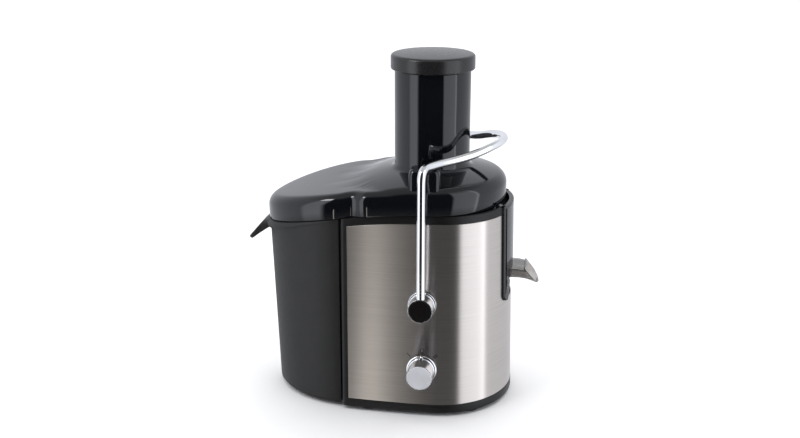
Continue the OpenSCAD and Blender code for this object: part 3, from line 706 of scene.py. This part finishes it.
def mouth_ring(half, low, high, lift):
    """Mouth of the spout, square at the top with a rounded lip, lifted off its slanted plane."""
    bend = 9  # from the mouth's top to where its sides start to round
    outline = [(low, 0), (low, half * 0.5), (low, half - 1.2), (low + 0.35, half - 0.3)]
    outline += [(low + 1.2, half), (bend * 0.6, half)]
    for a in [math.radians(t) for t in range(0, 91, 9)]:
        outline.append((bend + (high - bend) * math.sin(a), half * math.cos(a)))
    outline += [(s, -y) for s, y in reversed(outline[1:-1])]
    cos, sin = math.cos(MOUTH_TILT), math.sin(MOUTH_TILT)
    top = DUCT_Z + DUCT_TALL
    return [(MOUTH_X + (s * cos + lift * sin), y, top - (s * sin - lift * cos)) for s, y in outline]


def duct_ring(x, half, low, high):
    """Section of the duct, with as many corners as the mouth and from the same one round."""
    tall = high - low
    outline = [(0, 0), (0, half * 0.5), (0, half - 1.2), (0.35, half - 0.3), (1.2, half), (tall * 0.5, half)]
    outline += [(tall - 0.4, half), (tall - 0.1, half - 0.3)]
    outline += [(tall, (half - 1.2) * (8 - k) / 8) for k in range(9)]
    outline += [(s, -y) for s, y in reversed(outline[1:-1])]
    return [(x, y, high - s) for s, y in outline]


def juice_spout():
    """Smoky duct that opens into a slanted mouth with a rim and a rounded lip."""
    low, high = DUCT_Z, DUCT_Z + DUCT_TALL
    wall = 1.8
    rings = [
        duct_ring(80, DUCT_HALF, low, high),
        duct_ring(100, DUCT_HALF, low, high),
        mouth_ring(18.6, 0.5, 24.2, -1.4),
        mouth_ring(19.2, 0.1, 25.2, -0.8),
        mouth_ring(DUCT_HALF, 0, 25.5, 0),
        mouth_ring(19.4, 0.1, 25.4, 0.6),
        mouth_ring(18.9, 0.5, 25.0, 0.8),
        mouth_ring(18.2, 1.5, 24.2, 0.8),
        mouth_ring(17.8, 1.9, 23.8, 0.4),
        mouth_ring(17.2, 2.3, 22.8, -1.2),
        duct_ring(100, DUCT_HALF - wall, low + wall, high - wall),
        duct_ring(80, DUCT_HALF - wall, low + wall, high - wall),
    ]
    make("spout_duct", stack(rings), "base", "spout_smoke", "juice_spout")


def rubber_feet():
    """Round feet with a recess for the screw."""
    corners = [(1.9, 2.5), (4.2, 2.5), (4.2, 0), (13, 0), (12.2, 4.5), (1.9, 4.5)]
    profile = soften(corners, [0, 0.3, 0.6, 1.2, 0.5, 0])
    spots = [(50, 56), (50, -56), (-62, 66), (-62, -66)]
    feet = joined(*[lathe(profile, (x, y, 0), steps=64) for x, y in spots])
    make("feet", feet, "base", "soft_rubber", "rubber_feet")


# ---- Lid and pusher ----


def lid_top(x, y):
    """Height of the lid's outer face, with its rise around the feed tube."""
    spread = 7800  # square of the distance at which the rise ends
    return seam(x) + LID_WALL + LID_CROWN * max(0, 1 - (x * x + y * y) / spread)


def lid_face(depth):
    """Rings of the lid from its foot to the feed tube, for the outer face or for one further in."""
    plan = lid_plan()
    rings = []
    if depth == 0:
        rings.append([(x, y, seam(x) + LID_GAP) for x, y in inset(plan, 0.9)])
        rings.append([(x, y, seam(x) + LID_GAP + 0.25) for x, y in inset(plan, 0.25)])
        rings.append([(x, y, seam(x) + LID_GAP + 0.9) for x, y in plan])
    else:
        rings.append([(x, y, seam(x) + LID_GAP) for x, y in inset(plan, depth)])
    for a in [math.radians(t) for t in range(0, 91, 9)]:
        ring = inset(plan, depth + (SHOULDER_R - depth) * (1 - math.cos(a)))
        drop = depth + (SHOULDER_R - depth) * (1 - math.sin(a))
        rings.append([(x, y, lid_top(x, y) - drop) for x, y in ring])
    edge = inset(plan, SHOULDER_R)
    inner_r = TUBE_R + TUBE_FILLET * (depth == 0)
    for s in (0.08, 0.2, 0.34, 0.5, 0.66, 0.8, 0.92, 1.0):
        ring = []
        for x, y in edge:
            a = math.atan2(y, x)
            cx, cy = inner_r * math.cos(a), inner_r * math.sin(a)
            px, py = x + (cx - x) * s, y + (cy - y) * s
            ring.append((px, py, lid_top(px, py) - depth))
        rings.append(ring)
    return rings


def tube_ring(radius, height, lift=False):
    """Ring round the feed tube; with lift, the height counts from the lid's face."""
    ring = []
    for x, y in inset(lid_plan(), SHOULDER_R):
        a = math.atan2(y, x)
        px, py = radius * math.cos(a), radius * math.sin(a)
        base = lid_top(px, py) if lift else 0
        ring.append((px, py, base + height))
    return ring


def lid_lug():
    """Boss that the closed arm bears on."""
    wide, deep = 17, 13  # half of each side
    levels = [  # height, how far the sides stand out, radius of the corners
        (252, 0, 7), (277, 0, 7), (280.5, -0.7, 7), (282.8, -2, 7), (283.8, -3.8, 6), (284, -6, 5),
    ]
    rings = []
    for z, grow, radius in levels:
        corners = soften([(-wide, -deep), (wide, -deep), (wide, deep), (-wide, deep)], radius, 6)
        scale_x, scale_y = 1 + grow / wide, 1 + grow / deep
        rings.append([(x * scale_x, y * scale_y - LUG_Y, z) for x, y in corners])
    return stack(rings, loop=False)


def lid():
    """Smoky lid and feed tube in one shell, with its two lugs."""
    fillet = [
        tube_ring(TUBE_R + TUBE_FILLET * (1 - math.sin(a)), TUBE_FILLET * (1 - math.cos(a)), lift=True)
        for a in [math.radians(t) for t in (20, 40, 60, 80, 90)]
    ]
    tube = [
        tube_ring(TUBE_R, 330),
        tube_ring(TUBE_R, TUBE_TOP - 1),
        tube_ring(TUBE_R - 0.3, TUBE_TOP - 0.25),
        tube_ring(TUBE_R - 1, TUBE_TOP),
        tube_ring(TUBE_BORE + 0.6, TUBE_TOP),
        tube_ring(TUBE_BORE, TUBE_TOP - 0.6),
        tube_ring(TUBE_BORE, TUBE_FOOT),
        tube_ring(TUBE_R, TUBE_FOOT),
    ]
    rings = lid_face(0) + fillet + tube + list(reversed(lid_face(LID_T)))
    piece = solid("lid_shell", stack(rings))
    carve(piece, solid("lugs", mirrored(lid_lug())), "UNION")
    finish_piece(piece, "lid", "lid_smoke", "lid")


def pusher():
    """Cup that fits the feed tube, and its wide cap."""
    low, high = span("pusher_body")
    r = high.x
    cup = [(0, low.z), (r, low.z), (r, high.z), (r - 2.2, high.z), (r - 2.2, low.z + 2.5), (0, low.z + 2.5)]
    shape = lathe(soften(cup, [0, 2.5, 0.5, 0.5, 1, 0]), (0, 0, 0))
    make("pusher_cup", shape, "pusher", "pusher_smoke", "pusher_body")
    edge, top, foot = CAP_HIGH.x, CAP_HIGH.z, CAP_LOW.z
    rim, shoulder = top - 5.5, 4
    crown = rim + 3.4
    profile = [(0, foot + 1.6), (r, foot + 1.6), (r, foot), (edge - 0.8, foot), (edge, foot + 0.8), (edge, rim - 1)]
    for a in [math.radians(t) for t in range(10, 76, 13)]:
        profile.append((edge - shoulder + shoulder * math.cos(a), rim + 3.4 * math.sin(a)))
    for s in (0.96, 0.85, 0.7, 0.5, 0.3, 0.12, 0):
        profile.append(((edge - shoulder) * s, crown + (top - crown) * (1 - s * s)))
    make("pusher_top", lathe(profile, (0, 0, 0), steps=128), "pusher", "trim_black", "pusher_cap")


# ---- Locking arm ----


def rounded(route, times):
    """Cuts the corners off a route again and again, so that it bends smoothly."""
    for _ in range(times):
        pairs = zip(route, route[1:])
        cut = [p for a, b in pairs for p in (a.lerp(b, 0.25), a.lerp(b, 0.75))]
        route = [route[0]] + cut + [route[-1]]
    return route


def locking_arm():
    """Chrome rod from one hub, over the lid's lugs and round the feed tube, to the other hub."""
    half = [(0, -LEG_Y, 137.9), (0, -LEG_Y, 194.7), (0, -LEG_Y, 262), (0, -LEG_Y, 288.5)]
    half += [(6, -84, 290.5), (42, -50, 291.5), (67, -34, 300), (79.5, -12, 302.5)]
    route = [Vector(p) for p in half] + [Vector((x, -y, z)) for x, y, z in reversed(half)]
    path = rounded(route, 4)
    steps = 28
    rings = []
    for k, spot in enumerate(path):
        along = (path[min(k + 1, len(path) - 1)] - path[max(k - 1, 0)]).normalized()
        u = along.cross(Vector((1, 0, 0))).normalized()
        v = along.cross(u)
        turns = [math.tau * i / steps for i in range(steps)]
        rings.append([tuple(spot + (u * math.cos(a) + v * math.sin(a)) * ROD_R) for a in turns])
    make("arm_rod", stack(rings, loop=False), "arm", "arm_chrome", "locking_arm", angle=60)


def arm_hubs():
    """Chrome hubs at the pivots, each with a gloss black cap set into its face."""
    centre = (PIVOT.x, 0, PIVOT.z)
    hub = [(5, 85.4), (15.5, 85.4), (15.5, 88.4), (13.5, 88.4)]
    hub += [(13.5, 105.5), (12.7, 105.5), (12.7, 103.5), (5, 103.5)]
    shape = lathe(soften(hub, [0, 0.5, 0.8, 0.8, 0.4, 0.2, 0, 0]), centre, "y")
    make("hub_rings", mirrored(shape), "arm", "arm_chrome", "arm_hubs")
    cap = [(0, 103.6), (12.6, 103.6), (12.6, 105.4), (12.2, 105.8), (8, 105.95), (0, 106)]
    make("hub_faces", mirrored(lathe(cap, centre, "y")), "arm", "trim_gloss_black", "hub_caps")


# ---- Knob ----


def speed_knob():
    """Turned grip on a wider flange, with a small pointer on the flange's top."""
    centre = (KNOB.x, 0, KNOB.z)
    face = KNOB_FACE - 0.4
    grip = [(3, 86.8), (16.8, 86.8), (16.8, 89.3), (15.6, 90), (KNOB_R, 90.2), (KNOB_R, face)]
    grip += [(KNOB_R - 0.7, face), (KNOB_R - 0.7, face - 0.8), (3, face - 0.8)]
    shape = lathe(soften(grip, [0, 0.4, 0.9, 0.3, 0.5, 0.45, 0.15, 0, 0]), centre, "y")
    nub = soften([(-1.5, 0), (1.5, 0), (1.5, 2.6), (0, 3.4), (-1.5, 2.6)], 0.5)
    foot = KNOB.z + KNOB_R + 0.1
    rings = [[(x * k, -y, foot + z * k) for x, z in nub] for y, k in ((87, 1), (92.6, 1), (93.2, 0.8))]
    make("knob_grip", joined(shape, stack(rings, loop=False)), "knob", "knob_silver", "speed_knob")
    r = KNOB_R - 0.75
    disc = [(0, face - 0.7), (r, face - 0.7), (r, KNOB_FACE - 0.3), (r - 0.4, KNOB_FACE), (0, KNOB_FACE)]
    origin = (KNOB.x, -KNOB_FACE, KNOB.z)
    piece = solid("knob_face_plate", lathe(disc, centre, "y"), origin)
    groove = soften([(-0.6, 5.5), (0.6, 5.5), (0.6, 12), (-0.6, 12)], 0.5)
    rings = [[(x, -y, KNOB.z + z) for x, z in groove] for y in (KNOB_FACE - 0.45, KNOB_FACE + 1)]
    carve(piece, solid("groove", stack(rings, loop=False), origin))
    finish_piece(piece, "knob", "knob_face", "knob_face_disc")


# ---- Pulp bin ----


def bin_ring(depth, height):
    """Ring round the bin; depth and height are as in wall_ring."""
    bottom, top = BIN_FLOOR, BIN_FLOOR + BIN_TALL
    low, high = bin_plan(bottom), bin_plan(top)
    return wall_ring(low, high, (bottom, top), high, depth, height)


def to_tip(x):
    """Runs smoothly from 0 near the base to 1 at the bin's tip."""
    t = min(1, max(0, (-115 - x) / 62))
    return t * t * (3 - 2 * t)


def lip_out(x):
    """How far the rim's apron stands out; not at all on the face against the base."""
    return 0 if x > -BASE_LEFT - 3 else 1.0 + 3.4 * to_tip(x)


def bin_handle():
    """Tongue that runs out from the rim, bends down and ends rounded."""
    route = [  # x, z, half width, depth of the edges
        (-172, 204.8, 33, 9), (-178, 204.4, 29.5, 10), (-184, 203.1, 24, 10.5), (-188, 202.0, 19, 10.5),
        (-191.5, 200.4, 15, 10.5), (-195, 197.6, 12, 10), (-199, 193.2, 9.8, 9), (-203, 188.6, 9, 7.5),
        (-207, 184, 9, 6), (-210.2, 180.2, 8.6, 5), (-212.6, 177.4, 7, 4.4), (-213.9, 175.8, 4.8, 3.8),
        (-214.5, 175, 2.2, 3.2),
    ]
    rings = []
    for k, (x, z, half, thick) in enumerate(route):
        ax, az = route[max(k - 1, 0)][:2]
        bx, bz = route[min(k + 1, len(route) - 1)][:2]
        length = math.hypot(bx - ax, bz - az)
        down = (-(bz - az) / length, (bx - ax) / length)
        top = [(-half, 0.8), (-half + 0.8, 0), (-half * 0.5, -0.2)]
        rim = [(half, thick - 0.6), (half - 0.7, thick), (half - 2, thick), (half * 0.5, 3)]
        profile = top + [(0, -0.3)] + [(-y, d) for y, d in reversed(top)]
        profile += rim + [(0, 2.9)] + [(-y, d) for y, d in reversed(rim)]
        rings.append([(x + down[0] * d, y, z + down[1] * d) for y, d in profile])
    return stack(rings, loop=False)


def pulp_bin():
    """Tall bin with a rim that widens into an apron and the handle, on two runners."""
    rings = [
        bin_ring(3.2, BIN_FLOOR),
        bin_ring(1.2, BIN_FLOOR + 0.5),
        bin_ring(0.25, BIN_FLOOR + 2),
        bin_ring(0, BIN_FLOOR + 4.5),
        bin_ring(0, 100),
        bin_ring(0, lambda x: seam(x) - 3.2 - 5.6 * to_tip(x)),
        bin_ring(lambda x: -0.9 * lip_out(x), lambda x: seam(x) - 3.0 - 5.2 * to_tip(x)),
        bin_ring(lambda x: -lip_out(x), lambda x: seam(x) - 2.4 - 4.3 * to_tip(x)),
        bin_ring(lambda x: -0.98 * lip_out(x), lambda x: seam(x) - 1.6 - 3.0 * to_tip(x)),
        bin_ring(lambda x: -0.55 * lip_out(x), lambda x: seam(x) - 0.3 - 0.6 * to_tip(x)),
        bin_ring(0.2, below_seam(0)),
        bin_ring(BIN_T - 0.4, below_seam(0)),
        bin_ring(BIN_T, below_seam(0.5)),
        bin_ring(BIN_T, 60),
        bin_ring(BIN_T + 0.6, BIN_FLOOR + BIN_T + 2),
        bin_ring(BIN_T + 3, BIN_FLOOR + BIN_T),
    ]
    piece = solid("bin_shell", stack(rings, loop=False))
    handle = solid("handle", bin_handle())
    carve(handle, solid("room", stack([bin_ring(BIN_T, 100), bin_ring(BIN_T, 240)], loop=False)))
    carve(piece, handle, "UNION")
    for side in (-1, 1):
        corners = soften([(-150, 27), (-104, 27), (-104, 33), (-150, 33)], 1.5)
        runner = [[(x, side * y, z) for x, y in corners] for z in (0, BIN_FLOOR + 1)]
        carve(piece, solid("runner", stack(runner, loop=False)), "UNION")
    finish_piece(piece, "bin", "bin_charcoal", "pulp_bin", angle=40)


# ---- Camera, floor and light ----


def camera():
    """Long-lens view from the front, a little to the right and above."""
    aim_height, away, aside = 205, 1222, 36
    focal_pixels, frame_pixels = 1070, 800
    forward = Vector((
        -math.sin(CAMERA_AZIMUTH) * math.cos(CAMERA_TILT),
        math.cos(CAMERA_AZIMUTH) * math.cos(CAMERA_TILT),
        -math.sin(CAMERA_TILT),
    ))
    right = Vector((math.cos(CAMERA_AZIMUTH), math.sin(CAMERA_AZIMUTH), 0))
    up = right.cross(forward)
    data = bpy.data.cameras.new("camera")
    data.sensor_width = 36
    data.lens = data.sensor_width * focal_pixels / frame_pixels
    data.clip_end = 50
    eye = bpy.data.objects.new("camera", data)
    place = AXIS + (Vector((0, 0, aim_height)) - forward * away - right * aside) * MM
    eye.matrix_world = Matrix.Translation(place) @ Matrix((right, up, -forward)).transposed().to_4x4()
    bpy.context.scene.collection.objects.link(eye)
    bpy.context.scene.camera = eye


def floor():
    """Large plain pale surface."""
    half = 9
    corners = [(-half, -half, 0), (half, -half, 0), (half, half, 0), (-half, half, 0)]
    mesh = bpy.data.meshes.new("floor")
    mesh.from_pydata(corners, [], [(0, 1, 2, 3)])
    ground_plane = bpy.data.objects.new("floor", mesh)
    ground_plane.visible_glossy = False
    f = Finish("floor", (0.84, 0.84, 0.84), 0.7)
    f.mottle(f.noise(0.4), 0.995, 1.005)
    mesh.materials.append(f.material)
    bpy.context.scene.collection.objects.link(ground_plane)


def studio():
    """Softboxes at both sides with a dark gap round the camera, and a bright strip low at the left."""
    world = bpy.data.worlds.new("studio")
    bpy.context.scene.world = world
    world.use_nodes = True
    tree = world.node_tree
    background = tree.nodes["Background"]

    def add(kind, inputs, **settings):
        return add_node(tree, kind, inputs, **settings)

    def ramp_from(source, low, high):
        """Runs from 0 to 1 as the source goes from low to high."""
        return add("ShaderNodeMapRange", {"Value": source, "From Min": low, "From Max": high}).outputs["Result"]

    def blend(factor, under, over):
        """The colour under, covered with the colour over where the factor is 1."""
        node = add("ShaderNodeMix", {"Factor": factor}, data_type="RGBA")
        tree.links.new(under, node.inputs[6])
        node.inputs[7].default_value = over
        return node.outputs[2]

    way = tree.nodes.new("ShaderNodeTexCoord").outputs["Generated"]
    turn = {"Vector": way, "Angle": -CAMERA_AZIMUTH}
    turned = add("ShaderNodeVectorRotate", turn, rotation_type="Z_AXIS")
    parts = add("ShaderNodeSeparateXYZ", {"Vector": turned.outputs[0]})
    towards = add("ShaderNodeMath", {0: parts.outputs["Y"], 1: -1.0}, operation="MULTIPLY")
    angle = add("ShaderNodeMath", {0: parts.outputs["X"], 1: towards.outputs[0]}, operation="ARCTAN2")
    azimuth, height = angle.outputs[0], parts.outputs["Z"]
    ring = add("ShaderNodeValToRGB", {"Fac": ramp_from(azimuth, -math.pi, math.pi)})
    stops = [  # degrees right of the camera, brightness
        (-180, 0.36), (-130, 0.36), (-76, 0.40), (-70, 0.80), (-50, 0.90), (-43, 0.012), (29, 0.012),
        (33, 0.66), (68, 0.76), (70, 1.2), (73, 1.2), (75, 0.42), (128, 0.34), (180, 0.36),
    ]
    ramp = ring.color_ramp
    while len(ramp.elements) < len(stops):
        ramp.elements.new(0.5)
    for element, (degrees, _) in zip(ramp.elements, stops):
        element.position = degrees / 360 + 0.5
    for element, (_, level) in zip(ramp.elements, stops):
        element.color = (level * 0.96, level * 0.98, level * 1.04, 1)
    ceiling = blend(ramp_from(height, 0.62, 0.85), ring.outputs["Color"], (0.22, 0.22, 0.22, 1))
    bottom = blend(ramp_from(height, -0.42, -0.75), ceiling, (0.12, 0.12, 0.12, 1))
    left = ramp_from(azimuth, math.radians(-27.6), math.radians(-26.4))
    right = ramp_from(azimuth, math.radians(-23.8), math.radians(-25.4))
    below = ramp_from(height, -0.35, -0.385)
    pair = add("ShaderNodeMath", {0: left, 1: right}, operation="MULTIPLY")
    strip = add("ShaderNodeMath", {0: pair.outputs[0], 1: below}, operation="MULTIPLY")
    lit = blend(strip.outputs[0], bottom, (2.1, 2.04, 1.95, 1))
    tree.links.new(lit, background.inputs["Color"])
    background.inputs["Strength"].default_value = 2.4


def soft_light(name, place, width, height, power, seen):
    """Rectangular light that looks at the middle of the object, and is seen in reflections or not."""
    data = bpy.data.lights.new(name, "AREA")
    data.shape = "RECTANGLE"
    data.size = width
    data.size_y = height
    data.energy = power
    light = bpy.data.objects.new(name, data)
    light.location = place
    aim = Vector((0, 0, 0.15)) - light.location
    light.rotation_euler = aim.to_track_quat("-Z", "Y").to_euler()
    light.visible_glossy = seen
    bpy.context.scene.collection.objects.link(light)


camera()
floor()
studio()
soft_light("overhead", (0, 1.5, 5), 9, 9, 400, False)
soft_light("key", (-1.35, -1.05, 1.75), 0.7, 0.45, 9, True)
bpy.context.scene.view_settings.view_transform = "Standard"

dress_cad_nodes()
base_housing()
steel_skin()
dial_marks()
spout_frame()
juice_spout()
rubber_feet()
lid()
pusher()
locking_arm()
arm_hubs()
speed_knob()
pulp_bin()

bpy.context.view_layer.update()
